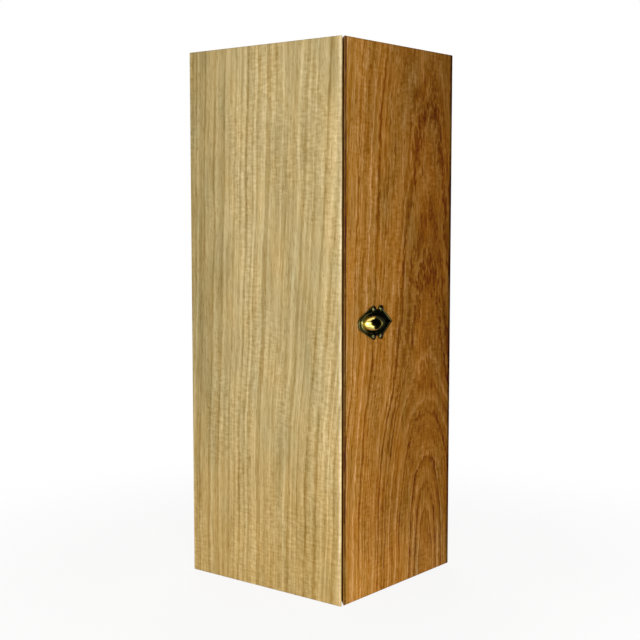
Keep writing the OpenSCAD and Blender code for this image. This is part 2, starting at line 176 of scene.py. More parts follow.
BEECH = {
    **ASH,
    "colour": "beech",
    "ring_pitch": 3.0,
    "ring_level": 0.08,
    "line_width": 1.2,
    "line_level": 0.05,
    "wave": 1.5,
    "streak_level": 0.08,
    "fibre_level": 0.10,
    "pore_level": 0.08,
    "ripple_level": 0.04,
    "drift_level": 0.08,
    "hue_level": 0.02,
    "band_level": 0.0,
    "foot_tint": (0.0, 0.0, 0.0),
    "tone_hue": EVEN,
}

# Noises in the wood: size across the grain in millimetres, stretch along it, detail, and an offset that
# keeps it apart from the others
NOISES = {
    "waves": (16, 3, 1.0, 0.0),
    "jags": (2.4, 3, 2.0, 5.0),
    "fades": (6, 14, 1.0, 9.0),
    "streaks": (1.7, 1, 2.0, 3.0),
    "fibres": (0.8, 1, 2.0, 7.0),
    "pores": (0.45, 9, 1.0, 11.0),
    "patches": (22, 3, 0.0, 13.0),
    "drifts": (15, 5, 2.0, 2.0),
    "hues": (10, 4, 1.0, 15.0),
}
BOARD_SEED = 17.0

# Levels of a noise between which the pores open, and between which the fading lines and the ripple set in
PORE_LEVELS = (0.60, 0.74)
PATCH_LEVELS = (0.36, 0.56)

# Where the rings lie flat to the face: how suddenly that sets in, what the jags are elsewhere and gain
# there, and the share of the rings' tone that is lost
FLAT_POWER = 4.0
JAG_SHARE = 0.7
JAG_GAIN = 0.9
FLAT_LOSS = 0.3

# Sizes in millimetres: the ripple's length across the grain and its pitch along it, the middle and the
# reach of the dark band, from the pith, and the depths below a face between which its edge tints die out
RIPPLE_ACROSS = 5
RIPPLE_PITCH = 1.8
BAND_MIDDLE = 96
BAND_REACH = 13
TINT_DEPTHS = (0.9, 0.3)

# Shares of a board's length, from its foot up, over which its foot changes hue, over which the painted floor
# light at its foot fades, and over which the darkening of its high edge grows
FOOT_HUE_SHARE = 0.45
FOOT_LIGHT_SHARE = 0.16
EDGE_SHARE = 0.5

WOOD_SPECULAR = 0.12
RELIEF_TONE = 0.2
RELIEF_STRENGTH = 0.6


# Boards

# How far the pith lies behind the outer face, from the foot of the board to its top, in millimetres
SIDE_PITH = (22, 26, 30, 41, 48, 53, 56, 59)
DOOR_PITH = (1, 10, 27, 43, 47, 51, 54, 60)
PLAIN_PITH = (34, 36, 40, 41, 44, 48, 50, 51)


class Board(NamedTuple):
    """How a board lies in its log."""

    # The axes across its width, through its thickness and along its grain
    axes: str
    # Place of the pith across the width, in millimetres
    pith: float
    # Whether the inside lies up (1) or down (-1) the axis through the thickness
    inward: int
    # How far the pith lies behind the outer face, from the foot to the top
    depths: tuple
    species: dict


# The order of the boards sets the grain of each one
BOARDS = {
    "left_side": Board("YXZ", -112, 1, SIDE_PITH, ASH),
    "right_side": Board("YXZ", 150, -1, PLAIN_PITH, ASH),
    "back_panel": Board("XYZ", -20, -1, PLAIN_PITH, ASH),
    "top_board": Board("YZX", -90, -1, PLAIN_PITH, ASH),
    "bottom_board": Board("YZX", 110, 1, PLAIN_PITH, ASH),
    "door_panel": Board("XYZ", 31.5, 1, DOOR_PITH, OAK),
    "neck_shelf": Board("YZX", -70, -1, PLAIN_PITH, BEECH),
    "bottle_base_ring": Board("YZX", 80, 1, PLAIN_PITH, BEECH),
    "top_board_dowels": Board("YZX", 60, 1, PLAIN_PITH, BEECH),
    "bottom_board_dowels": Board("YZX", 60, 1, PLAIN_PITH, BEECH),
}

# Boards that darken towards their high edge: from how far before it in millimetres, by how much, and the
# share of it that is left at the foot. On the door this is painted shade, as the light falls off across
# its face away from the near edge; the left side just turns darker towards its far edge
EDGE_SHADES = {"left_side": (45, -0.08, 0.1), "door_panel": (121, -0.16, 0.8)}
NO_EDGE_SHADE = (40, 0.0, 1.0)

# Narrow bands along the edges of a face: the low or the high edge, width in millimetres, and the tint.
# The left side's pale near arris is partly rubbed wood and partly a painted highlight of the arris
# catching the light. The door's dark near edge is painted shade in the gap at the corner, and its dark
# far edge is partly a darker stain and partly painted shade where the edge turns away from the light
# Partly rubbed pale wood, partly a painted highlight of the arris catching the light
LIT_RUBBED_ARRIS = (0.06, 0.07, 0.10)
# Partly darker stain, partly painted shade where the edge turns away from the light
STAINED_SHADED_EDGE = (-0.20, -0.14, -0.13)
# Painted shade of the gap between the door and the side
GAP_SHADE = (-0.34, -0.27, -0.24)
EDGE_TINTS = {
    "left_side": (("low", 1.6, LIT_RUBBED_ARRIS),),
    "door_panel": (("low", 1.2, GAP_SHADE), ("high", 3.6, STAINED_SHADED_EDGE)),
}


# Metal parts

BRASS_NODES = (
    "upper_hinge_side_leaf", "upper_hinge_door_leaf", "upper_hinge_pin",
    "lower_hinge_side_leaf", "lower_hinge_door_leaf", "lower_hinge_pin",
    "side_hinge_screws", "door_hinge_screws", "back_panel_pins",
)
STEEL_NODES = (
    "upper_catch_magnet", "lower_catch_magnet", "upper_strike_disc", "lower_strike_disc",
    "strike_disc_screws", "knob_screw", "knob_washer",
)

# Wear: levels of a noise between which the roughness changes, and its shares of the mean there
WEAR_LEVELS = (0.3, 0.7)
WEAR_SHARES = (0.8, 1.25)

# The backplate: its thickness at the rim and in its sunk field, the steps by which the rim rises and turns
# down again, and the heights above the door, in millimetres, between which it is rubbed bright
PLATE_T = 1.0 * MM
FIELD_T = 0.75 * MM
RIM_RISES = (0.15 * MM, 0.08 * MM, -0.1 * MM)
WORN_HEIGHTS = (0.75, 1.25)

# Its nails with their seats, and the height and half width of the ridge towards its point
NAIL_HEAD = 2.2 * MM
NAIL_HEAD_H = 0.8 * MM
NAIL_SEAT = 3.0 * MM
SEAT_ROUND = 0.3 * MM
RIDGE_H = 0.4 * MM
RIDGE_HALF = 1.1 * MM

# As shares of the collar's thickness: how far its middle lies outside the knob of the construction model,
# with the dome as far inside it, and how far beyond that knob the ridge starts
COLLAR_SHIFT = 0.25
RIDGE_START = 1.25

# Painted shade on the knob: its foot is made dark and unreflecting in place of the shade and dark
# reflections there, reaching higher on the side away from the light. Where its shallow and its deep end
# lie, as shares of its length, how deep it reaches there beyond the foot, and how softly it stops, in
# millimetres
KNOB_SHADE_SHARES = (0.25, 0.6)
KNOB_SHADE_DEPTHS = (0.0, 5.3)
KNOB_SHADE_FADE = 0.5

# How squarely a face has to look a given way to be picked, and how round the edge of the felt is
FACING = 0.9
PAD_ROUND = 0.6 * MM


# Stage

# The camera's sensor in millimetres, the side of the floor in metres, how far round the middle of the box
# the floor turns white, in millimetres, and how white it is near the box
SENSOR = 36.0
FLOOR_SIDE = 8.0
SHADOW_REACH = (150, 400)
SHADOW_WHITE = 0.88

# The lamps: place and side in metres. The low one doesn't show in gloss
LAMPS = {
    "key": ((-0.62, -0.58, 0.34), 0.35),
    "side": ((-1.1, 0.3, 0.4), 0.8),
    "low": ((0.0, -0.35, 0.03), 0.2),
    "rear": ((0.9, 0.9, 0.9), 0.9),
}

# The screens round the knob: bearings from the front at which each starts and ends, in degrees, and its
# height, and then how near and how far their floors reach and how high they lie, in metres
DARK_SPAN = (320, 92, 1.9)
BRIGHT_SPAN = (165, 320, 2.4)
SCREEN_NEAR = 0.15
SCREEN_FAR = 1.5
SCREEN_CLEAR = 0.001

# How the bright screen fades, in degrees as the knob sees it: over these heights towards its top, to this
# level, over these bearings towards its right-hand edge, and how far that edge leans over these heights
TOP_FADE = (18, 44)
TOP_LEVEL = 0.45
EDGE_FADE = (-80, -108)
LEAN_HEIGHTS = (-12, -48)
EDGE_LEAN = -42


# Settings


class WoodSettings(PropertyGroup):
    """Colours and surface of the woods."""

    ash: FloatVectorProperty(
        name="Ash", description="Mean colour of the pale boards", subtype="COLOR",
        default=linear(189, 166, 115),
    )
    oak: FloatVectorProperty(
        name="Oak", description="Mean colour of the door", subtype="COLOR",
        default=linear(167, 117.5, 54),
    )
    beech: FloatVectorProperty(
        name="Beech", description="Mean colour of the bottle supports", subtype="COLOR",
        default=linear(196, 160, 120),
    )
    roughness: FloatProperty(
        name="Roughness", description="Roughness of the satin finish", subtype="FACTOR",
        default=0.5, min=0, max=1,
    )
    relief: FloatProperty(
        name="Grain Relief", description="Depth of the open grain", unit="LENGTH", subtype="DISTANCE",
        default=0.05 * MM, precision=5,
    )


class MetalSettings(PropertyGroup):
    """Colours and finish of the metal parts."""

    polished_brass: FloatVectorProperty(
        name="Polished Brass", description="Colour of the knob", subtype="COLOR",
        default=(0.92, 0.74, 0.14),
    )
    brass: FloatVectorProperty(
        name="Brass", description="Colour of the hinges and panel pins", subtype="COLOR",
        default=(0.75, 0.52, 0.20),
    )
    bronze: FloatVectorProperty(
        name="Dark Bronze", description="Colour of the backplate", subtype="COLOR",
        default=(0.05, 0.055, 0.022),
    )
    worn: FloatVectorProperty(
        name="Worn Bronze", description="Colour where the backplate is rubbed bright", subtype="COLOR",
        default=(0.20, 0.17, 0.05),
    )
    nail: FloatVectorProperty(
        name="Nails", description="Colour of the nails of the backplate", subtype="COLOR",
        default=(0.035, 0.035, 0.03),
    )
    steel: FloatVectorProperty(
        name="Steel", description="Colour of the magnets and discs", subtype="COLOR",
        default=(0.60, 0.60, 0.60),
    )


class KnobSettings(PropertyGroup):
    """Shape of the knob and its plate."""

    fullness: FloatProperty(
        name="Fullness", description="Fullness of the knob's outline, where 2 is an ellipse",
        default=2.1, min=2, max=3,
    )
    profile_steps: IntProperty(
        name="Profile Steps", description="Points along the knob", default=40, min=12, max=96
    )
    turn_steps: IntProperty(
        name="Turn Steps", description="Steps round half of the knob", default=48, min=12, max=96
    )
    collar: FloatProperty(
        name="Collar", description="Thickness of the bead round the foot of the knob", unit="LENGTH",
        subtype="DISTANCE", default=1.6 * MM, precision=5,
    )
    skirt: FloatProperty(
        name="Skirt", description="Height of the straight foot of the knob", unit="LENGTH",
        subtype="DISTANCE", default=0.8 * MM, precision=5,
    )
    rim: FloatProperty(
        name="Rim", description="Width of the raised rim of the backplate", unit="LENGTH",
        subtype="DISTANCE", default=0.8 * MM, precision=5,
    )
    lobe: FloatProperty(
        name="Lobe", description="Diameter of a lobe of the backplate", unit="LENGTH", subtype="DISTANCE",
        default=4.8 * MM, precision=5,
    )
    blunt: FloatProperty(
        name="Blunt End", description="Radius of the blunt end of the backplate", unit="LENGTH",
        subtype="DISTANCE", default=4.6 * MM, precision=5,
    )
    shoulder: FloatVectorProperty(
        name="Shoulder", description="Place of a shoulder beyond and below the lobe next to the point",
        unit="LENGTH", subtype="XYZ", size=2, default=(3.9 * MM, -1.6 * MM), precision=5,
    )
    detail: FloatProperty(
        name="Detail", description="Size of the finest detail of the backplate", unit="LENGTH",
        subtype="DISTANCE", default=0.15 * MM, precision=5,
    )


class FeltSettings(PropertyGroup):
    """Look of the felt pad."""

    colour: FloatVectorProperty(
        name="Felt", description="Colour of the felt", subtype="COLOR", default=(0.20, 0.015, 0.02)
    )
    fuzz: FloatProperty(
        name="Fuzz", description="Height of the felt's nap", unit="LENGTH", subtype="DISTANCE",
        default=0.15 * MM, precision=5,
    )


class StageSettings(PropertyGroup):
    """Camera, floor and lamps."""

    camera_place: FloatVectorProperty(
        name="Camera Place", description="Where the camera stands", unit="LENGTH", subtype="TRANSLATION",
        default=(-0.63587, -0.51059, 0.24503),
    )
    camera_yaw: FloatProperty(
        name="Camera Yaw", description="Turn of the camera from +Y towards +X", unit="ROTATION",
        subtype="ANGLE", default=math.radians(51.1392),
    )
    camera_pitch: FloatProperty(
        name="Camera Pitch", description="Tilt of the camera above the horizon", unit="ROTATION",
        subtype="ANGLE", default=math.radians(-5.1493),
    )
    lens: FloatProperty(
        name="Lens", description="Focal length in millimetres", default=67.57, min=20, max=200
    )
    key_power: FloatProperty(
        name="Key Power", description="Power of the main lamp", unit="POWER", default=4.6
    )
    side_power: FloatProperty(
        name="Side Power", description="Power of the left lamp", unit="POWER", default=2.2
    )
    low_power: FloatProperty(
        name="Low Power", description="Power of the low lamp", unit="POWER", default=0.35
    )
    rear_power: FloatProperty(
        name="Rear Power", description="Power of the rear lamp", unit="POWER", default=9
    )
    ambient: FloatProperty(
        name="Ambient", description="Strength of the light from all round", default=0.3
    )
    screen_level: FloatProperty(
        name="Screen Level", description="Brightness of the white screen that the knob mirrors", default=2.2
    )


# Shader helpers


def plug(tree, node, sockets):
    """Sets a node's sockets, by name or number, or links them to shader values."""
    for key, value in sockets.items():
        if isinstance(value, NodeSocket):
            tree.links.new(value, node.inputs[key])
        else:
            node.inputs[key].default_value = value


def add(tree, kind, sockets=None, **settings):
    """A shader node with its settings and its sockets."""
    made = tree.nodes.new("ShaderNode" + kind)
    for key, value in settings.items():
        setattr(made, key, value)
    plug(tree, made, sockets or {})
    return made


def calc(tree, operation, *values, clamp=False):
    """The result of a Math node."""
    return add(tree, "Math", dict(enumerate(values)), operation=operation, use_clamp=clamp).outputs[0]


def total(tree, values):
    """The sum of several values."""
    result = values[0]
    for value in values[1:]:
        result = calc(tree, "ADD", result, value)
    return result


def bell(tree, value, middle, reach):
    """A value's nearness to a middle, which is 1 there and falls off round it."""
    out = calc(tree, "MULTIPLY", calc(tree, "SUBTRACT", value, middle), 1 / reach)
    return calc(tree, "EXPONENT", calc(tree, "MULTIPLY", calc(tree, "MULTIPLY", out, out), -0.5))


def place_between(tree, value, low, high):
    """A value's place between two others, from 0 to 1."""
    return add(tree, "MapRange", {0: value, 1: low, 2: high}).outputs[0]


def ramp(tree, value, low, high, to_low=0.0, to_high=1.0):
    """A value that runs smoothly from to_low at low to to_high at high."""
    sockets = {0: value, 1: low, 2: high, 3: to_low, 4: to_high}
    return add(tree, "MapRange", sockets, interpolation_type="SMOOTHSTEP").outputs[0]


def mix(tree, share, first, second):
    """A colour between two colours."""
    return add(tree, "Mix", {0: share, 6: first, 7: second}, data_type="RGBA").outputs[2]


def curve(tree, value, points):
    """A value read from a smooth curve through points from 0 to 1."""
    made = add(tree, "FloatCurve", {"Value": value})
    line = made.mapping.curves[0]
    line.points[0].location = points[0]
    line.points[1].location = points[-1]
    for x, y in points[1:-1]:
        line.points.new(x, y)
    for point in line.points:
        point.handle_type = "AUTO_CLAMPED"
    made.mapping.update()
    return made.outputs[0]


def swing(tree, value, level):
    """A noise from 0 to 1 as a change of tone about nought."""
    return calc(tree, "MULTIPLY", calc(tree, "SUBTRACT", value, 0.5), level)


def noise(tree, vector, detail, roughness=0.5):
    """A noise from 0 to 1 in three dimensions."""
    sockets = {"Vector": vector, "Scale": 1.0, "Detail": detail, "Roughness": roughness}
    return add(tree, "TexNoise", sockets).outputs["Fac"]


def line_noise(tree, place):
    """A noise from 0 to 1 along one dimension."""
    sockets = {"W": place, "Scale": 1.0, "Detail": 2.0, "Roughness": 0.6}
    return add(tree, "TexNoise", sockets, noise_dimensions="1D").outputs["Fac"]


def scaled(tree, vector, factor):
    """A vector times a factor."""
    return add(tree, "VectorMath", {0: vector, 3: factor}, operation="SCALE").outputs[0]


def millimetres(tree):
    """Object coordinates in millimetres."""
    return scaled(tree, add(tree, "TexCoord").outputs["Object"], MM_PER_M)


def split(tree, vector):
    """The parts of a vector, by axis."""
    return add(tree, "SeparateXYZ", {0: vector}).outputs


def speckle(tree, per_mm, detail, roughness=0.5):
    """A noise from 0 to 1 over a piece, with so many grains to the millimetre."""
    return noise(tree, scaled(tree, millimetres(tree), per_mm), detail, roughness)


def tinted(tree, colour, *tints):
    """A colour moved by tints, each a value and its direction, which count as the eye sees them."""
    changed = [channel ** (1 / DISPLAY_GAMMA) for channel in colour[:3]]
    for value, direction in tints:
        change = scaled(tree, direction, value)
        changed = add(tree, "VectorMath", {0: change, 1: changed}, operation="ADD").outputs[0]
    kept = add(tree, "VectorMath", {0: changed, 1: DARKEST}, operation="MAXIMUM").outputs[0]
    return add(tree, "Gamma", {0: kept, 1: DISPLAY_GAMMA}).outputs[0]


def relief(tree, shader, height, distance, strength):
    """Raises the surface where a height is greater."""
    bump = add(tree, "Bump", {"Strength": strength, "Distance": distance, "Height": height})
    plug(tree, shader, {"Normal": bump.outputs[0]})


def new_material(name):
    """A material with its tree and its Principled shader."""
    material = bpy.data.materials.new(name)
    material.use_nodes = True
    tree = material.node_tree
    return material, tree, tree.nodes["Principled BSDF"]


def glow(tree, colour, strength):
    """Plain light, as if the surface were lit from within."""
    return add(tree, "Emission", {0: colour, 1: strength}).outputs[0]


def show(tree, surface):
    """Makes a surface the one that the material shows."""
    plug(tree, tree.nodes["Material Output"], {0: surface})


def paint(names, material):
    """Gives CAD nodes a material in all their slots."""
    for name in names:
        for slot in NODES[name].material_slots:
            slot.material = material


# Wood


def line_points(lines, width, low, high):
    """Points of a curve that peaks at each growth line, with 0.5 where there is none."""
    points = [(0.0, 0.5)]
    for place, strength in lines:
        for beside, level in ((-width, 0.5), (0, 0.5 + strength / 2), (width, 0.5)):
            points.append(((place + beside - low) / (high - low), level))
    points.append((1.0, 0.5))
    return points


class Timber:
    """The wood of one board as shader values, with places in millimetres."""

    def __init__(self, tree, name, board):
        self.tree = tree
        self.name = name
        self.board = board
        self.species = board.species
        self.seed = BOARD_SEED * list(BOARDS).index(name)
        parts = split(tree, millimetres(tree))
        self.across, self.through, self.along = (parts[axis] for axis in board.axes)
        low, high = (Vector(corner) * MM_PER_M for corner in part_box(name))
        numbers = ["XYZ".index(axis) for axis in board.axes]
        self.edges, faces, ends = ((low[number], high[number]) for number in numbers)
        self.face = faces[0] if board.inward > 0 else faces[1]
        # Share of the board's length, from its foot to its top
        self.share = place_between(tree, self.along, *ends)

    def level(self, kind):
        """The species' level of one kind of mark."""
        return self.species[kind + "_level"]

    def grain(self, kind, longer=1):
        """A noise that is stretched along the grain."""
        tree = self.tree
        size, stretch, detail, offset = NOISES[kind]
        sockets = {
            0: calc(tree, "MULTIPLY_ADD", self.across, 1 / size, self.seed + offset),
            1: calc(tree, "MULTIPLY_ADD", self.through, 1 / size, offset),
            2: calc(tree, "MULTIPLY", self.along, 1 / (size * stretch * longer)),
        }
        return noise(tree, add(tree, "CombineXYZ", sockets).outputs[0], detail)

    def depth(self):
        """How far the pith lies behind the outer face."""
        deepest = max(self.board.depths)
        last = len(self.board.depths) - 1
        points = [(i / last, depth / deepest) for i, depth in enumerate(self.board.depths)]
        return calc(self.tree, "MULTIPLY", curve(self.tree, self.share, points), deepest)

    def radius(self):
        """Distance from the pith, with slow waves and small jags, and how flat the rings lie to the face."""
        tree = self.tree
        depth = self.depth()
        sideways = calc(tree, "SUBTRACT", self.across, self.board.pith)
        inside = calc(tree, "MULTIPLY", calc(tree, "SUBTRACT", self.through, self.face), self.board.inward)
        behind = calc(tree, "SUBTRACT", inside, depth)
        squares = [calc(tree, "MULTIPLY", side, side) for side in (sideways, behind)]
        clear = calc(tree, "SQRT", total(tree, squares))
        flat = calc(tree, "POWER", calc(tree, "DIVIDE", depth, clear, clamp=True), FLAT_POWER)
        waves = swing(tree, self.grain("waves"), 2 * self.species["wave"])
        jags = swing(tree, self.grain("jags"), 2 * self.species["jag"])
        jags = calc(tree, "MULTIPLY", jags, calc(tree, "MULTIPLY_ADD", flat, JAG_GAIN, JAG_SHARE))
        return total(tree, [clear, waves, jags]), flat

    def lines(self, radius):
        """Tone of the few growth lines that stand out."""
        tree = self.tree
        lines, width = self.species["lines"], self.species["line_width"]
        span = (lines[0][0] - 2 * width, lines[-1][0] + 2 * width)
        marked = curve(tree, place_between(tree, radius, *span), line_points(lines, width, *span))
        fade = ramp(tree, self.grain("fades"), *PATCH_LEVELS, self.species["line_fade"], 1.0)
        return calc(tree, "MULTIPLY", swing(tree, marked, -2 * self.level("line")), fade)

    def rings(self, radius):
        """Tone of the run of uneven rings."""
        tree = self.tree
        place = calc(tree, "MULTIPLY_ADD", radius, 1 / self.species["ring_pitch"], self.seed)
        return swing(tree, line_noise(tree, place), self.level("ring"))

    def streaks(self):
        """Tone of the streaks along the grain."""
        return swing(self.tree, self.grain("streaks", self.species["streak_length"]), self.level("streak"))

    def fibres(self):
        """Tone of the fine fibres."""
        return swing(self.tree, self.grain("fibres", self.species["fibre_length"]), self.level("fibre"))

    def pores(self):
        """Tone of the open pores."""
        pores = ramp(self.tree, self.grain("pores"), *PORE_LEVELS)
        return calc(self.tree, "MULTIPLY", pores, -self.level("pore"))

    def ripples(self):
        """Tone of the ripple across the grain, which shows in patches."""
        tree = self.tree
        sockets = {
            0: calc(tree, "MULTIPLY", self.across, 1 / RIPPLE_ACROSS),
            1: self.seed,
            2: calc(tree, "MULTIPLY", self.along, 1 / RIPPLE_PITCH),
        }
        ripple = noise(tree, add(tree, "CombineXYZ", sockets).outputs[0], detail=1.0)
        patches = ramp(tree, self.grain("patches"), *PATCH_LEVELS)
        return calc(tree, "MULTIPLY", swing(tree, ripple, self.level("ripple")), patches)

    def broad_tone(self, radius):
        """Tone of the dark run of rings, drifts, painted floor light at the foot and the darker high edge.
        """
        tree = self.tree
        band = calc(tree, "MULTIPLY", bell(tree, radius, BAND_MIDDLE, BAND_REACH), -self.level("band"))
        drift = swing(tree, self.grain("drifts"), self.level("drift"))
        # Painted light: brighter towards the foot, as if lit from the floor
        at_foot = ramp(tree, self.share, FOOT_LIGHT_SHARE, 0.0)
        foot = calc(tree, "MULTIPLY", at_foot, self.species["foot_light"])
        # Darker towards the high edge, which on the door is painted shade of the light falling off across it
        reach, tone, foot_share = EDGE_SHADES.get(self.name, NO_EDGE_SHADE)
        edge = place_between(tree, self.across, self.edges[1] - reach, self.edges[1])
        edge_tone = ramp(tree, self.share, 0.0, EDGE_SHARE, tone * foot_share, tone)
        return total(tree, [band, drift, foot, calc(tree, "MULTIPLY", edge, edge_tone)])

    def edge_tints(self):
        """Tints of the edge bands of the outer face: painted highlight, painted shade and stain."""
        tree = self.tree
        skin = calc(tree, "ABSOLUTE", calc(tree, "SUBTRACT", self.through, self.face))
        on_face = ramp(tree, skin, *TINT_DEPTHS)
        low, high = self.edges
        tints = []
        for side, width, tint in EDGE_TINTS.get(self.name, ()):
            start, stop = (low, low + width) if side == "low" else (high, high - width)
            # The inner third of the band is soft
            band = ramp(tree, self.across, stop, (start + 2 * stop) / 3)
            tints.append((calc(tree, "MULTIPLY", band, on_face), tint))
        return tints


def wood(name, board, settings):
    """Solid wood: rings round a bent pith, streaks and pores along the grain, and broad drifts of tone."""
    species = board.species
    material, tree, shader = new_material(f"{species['colour']}_{name}")
    timber = Timber(tree, name, board)
    radius, flat = timber.radius()
    ring_share = calc(tree, "MULTIPLY_ADD", flat, -FLAT_LOSS, 1.0)
    lines = calc(tree, "MULTIPLY", timber.lines(radius), ring_share)
    rings = calc(tree, "MULTIPLY", timber.rings(radius), ring_share)
    fibres, pores = timber.fibres(), timber.pores()
    fine_tone = total(tree, [lines, rings, timber.streaks(), fibres, pores, timber.ripples()])
    tints = [
        (fine_tone, species["tone_hue"]),
        (timber.broad_tone(radius), WARM),
        (ramp(tree, timber.share, FOOT_HUE_SHARE, 0.0), species["foot_tint"]),
        (swing(tree, timber.grain("hues"), species["hue_level"]), BLUE_TO_RED),
        *timber.edge_tints(),
    ]
    sockets = {
        "Base Color": tinted(tree, getattr(settings, species["colour"]), *tints),
        "Roughness": settings.roughness,
        "Specular IOR Level": WOOD_SPECULAR,
    }
    plug(tree, shader, sockets)
    height = calc(tree, "MULTIPLY", total(tree, [fibres, pores, lines]), 1 / RELIEF_TONE)
    relief(tree, shader, height, settings.relief, RELIEF_STRENGTH)
    return material


# Metal


def metal(name, colour, roughness, patina):
    """Metal with fine wear in its gloss and a patina in patches."""
    material, tree, shader = new_material(name)
    scratches = speckle(tree, per_mm=2.5, detail=4.0, roughness=0.6)
    patches = speckle(tree, per_mm=0.5, detail=3.0)
    sockets = {
        "Base Color": tinted(tree, colour, (swing(tree, patches, patina), EVEN)),
        "Roughness": ramp(tree, scratches, *WEAR_LEVELS, *(roughness * share for share in WEAR_SHARES)),
        "Metallic": 1.0,
    }
    plug(tree, shader, sockets)
    relief(tree, shader, scratches, distance=0.02 * MM, strength=0.15)
    return material


# Modelling helpers


def pick(piece):
    """Leaves only this piece selected and active, or nothing selected, with no mesh in edit mode."""
    if bpy.context.object and bpy.context.object.mode == "EDIT":
        bpy.ops.object.mode_set(mode="OBJECT")
    bpy.ops.object.select_all(action="DESELECT")
    if piece:
        piece.select_set(True)
        bpy.context.view_layer.objects.active = piece


def settle(piece):
    """Puts a piece's place, turn and size in its mesh."""
    pick(piece)
    bpy.ops.object.transform_apply(location=True, rotation=True, scale=True)


def smooth(piece, angle):
    """Shades a piece smooth up to an angle in degrees between its faces."""
    pick(piece)
    bpy.ops.object.shade_smooth_by_angle(angle=math.radians(angle))


def finish_piece(piece, name, body, material, replaced):
    """Settles and names a piece, gives it its material and hands it to the frame."""
    settle(piece)
    piece.name = name
    piece.data.name = name
    piece.data.materials.clear()
    piece.data.materials.append(material)
    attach(piece, body)
    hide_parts(replaced)


def apply_modifier(piece, kind, **settings):
    """Adds a modifier to a piece and applies it."""
    pick(piece)
    made = piece.modifiers.new(kind.title(), kind)
    for key, value in settings.items():
        setattr(made, key, value)
    bpy.ops.object.modifier_apply(modifier=made.name)


def edit(piece, towards=None):
    """Opens a mesh in edit mode, with all of it selected or only the faces that look a given way."""
    pick(piece)
    for face in piece.data.polygons:
        face.select = towards is not None and face.normal.dot(towards) > FACING
    bpy.ops.object.mode_set(mode="EDIT")
    bpy.ops.mesh.select_mode(type="FACE")
    if towards is None:
        bpy.ops.mesh.select_all(action="SELECT")


def join(pieces):
    """Joins pieces into the first one."""
    pick(pieces[0])
    for piece in pieces:
        piece.select_set(True)
    bpy.ops.object.join()
    return pieces[0]


def arc(middle, radius, first, last, steps=12):
    """Points along an arc between two angles."""
    turns = [first + (last - first) * i / steps for i in range(steps + 1)]
    return [(middle[0] + radius * math.cos(turn), middle[1] + radius * math.sin(turn)) for turn in turns]


def signed_power(value, power):
    """A power of a number's size, with the number's sign."""
    return math.copysign(abs(value) ** power, value)


def oval(middle, half_length, half_height, fullness, steps):
    """Points of a closed oval, fuller than an ellipse."""
    power = 2 / fullness
    turns = [2 * math.pi * i / steps for i in range(steps)]
    return [
        (
            middle[0] + half_length * signed_power(math.cos(turn), power),
            middle[1] + half_height * signed_power(math.sin(turn), power),
        )
        for turn in turns
    ]


def drawn(points, height, **settings):
    """A mesh from a closed line that is drawn on the door, at a height above the door."""
    shape = bpy.data.curves.new("drawing", "CURVE")
    for key, value in settings.items():
        setattr(shape, key, value)
    line = shape.splines.new("POLY")
    line.points.add(len(points) - 1)
    line.use_cyclic_u = True
    for point, (x, z) in zip(line.points, points):
        point.co = (x, z, 0, 1)
    piece = bpy.data.objects.new("drawing", shape)
    bpy.context.collection.objects.link(piece)
    pick(piece)
    bpy.ops.object.convert(target="MESH")
    piece = bpy.context.object
    piece.rotation_euler = (math.pi / 2, 0, 0)
    piece.location = (0, DOOR_FACE - height, 0)
    settle(piece)
    return piece


# The steps that build the looks


class WINEBOX_OT_boards(Operator):
    """Finishes every board of the box, its door and its bottle supports in solid wood"""

    bl_idname = "winebox.boards"
    bl_label = "Finish Boards"

    def execute(self, context):
        for name, board in BOARDS.items():
            paint([name], wood(name, board, context.scene.winebox_wood))
        return {"FINISHED"}


class WINEBOX_OT_fittings(Operator):
    """Finishes the hinges, catches, screws and pins in metal"""

    bl_idname = "winebox.fittings"
    bl_label = "Finish Fittings"

    def execute(self, context):
        metals = context.scene.winebox_metal
        paint(BRASS_NODES, metal("satin_brass", metals.brass, roughness=0.28, patina=0.08))
        paint(STEEL_NODES, metal("satin_steel", metals.steel, roughness=0.25, patina=0.04))
        paint(["backplate_nails"], metal("nail_bronze", metals.nail, roughness=0.18, patina=0.05))
        return {"FINISHED"}


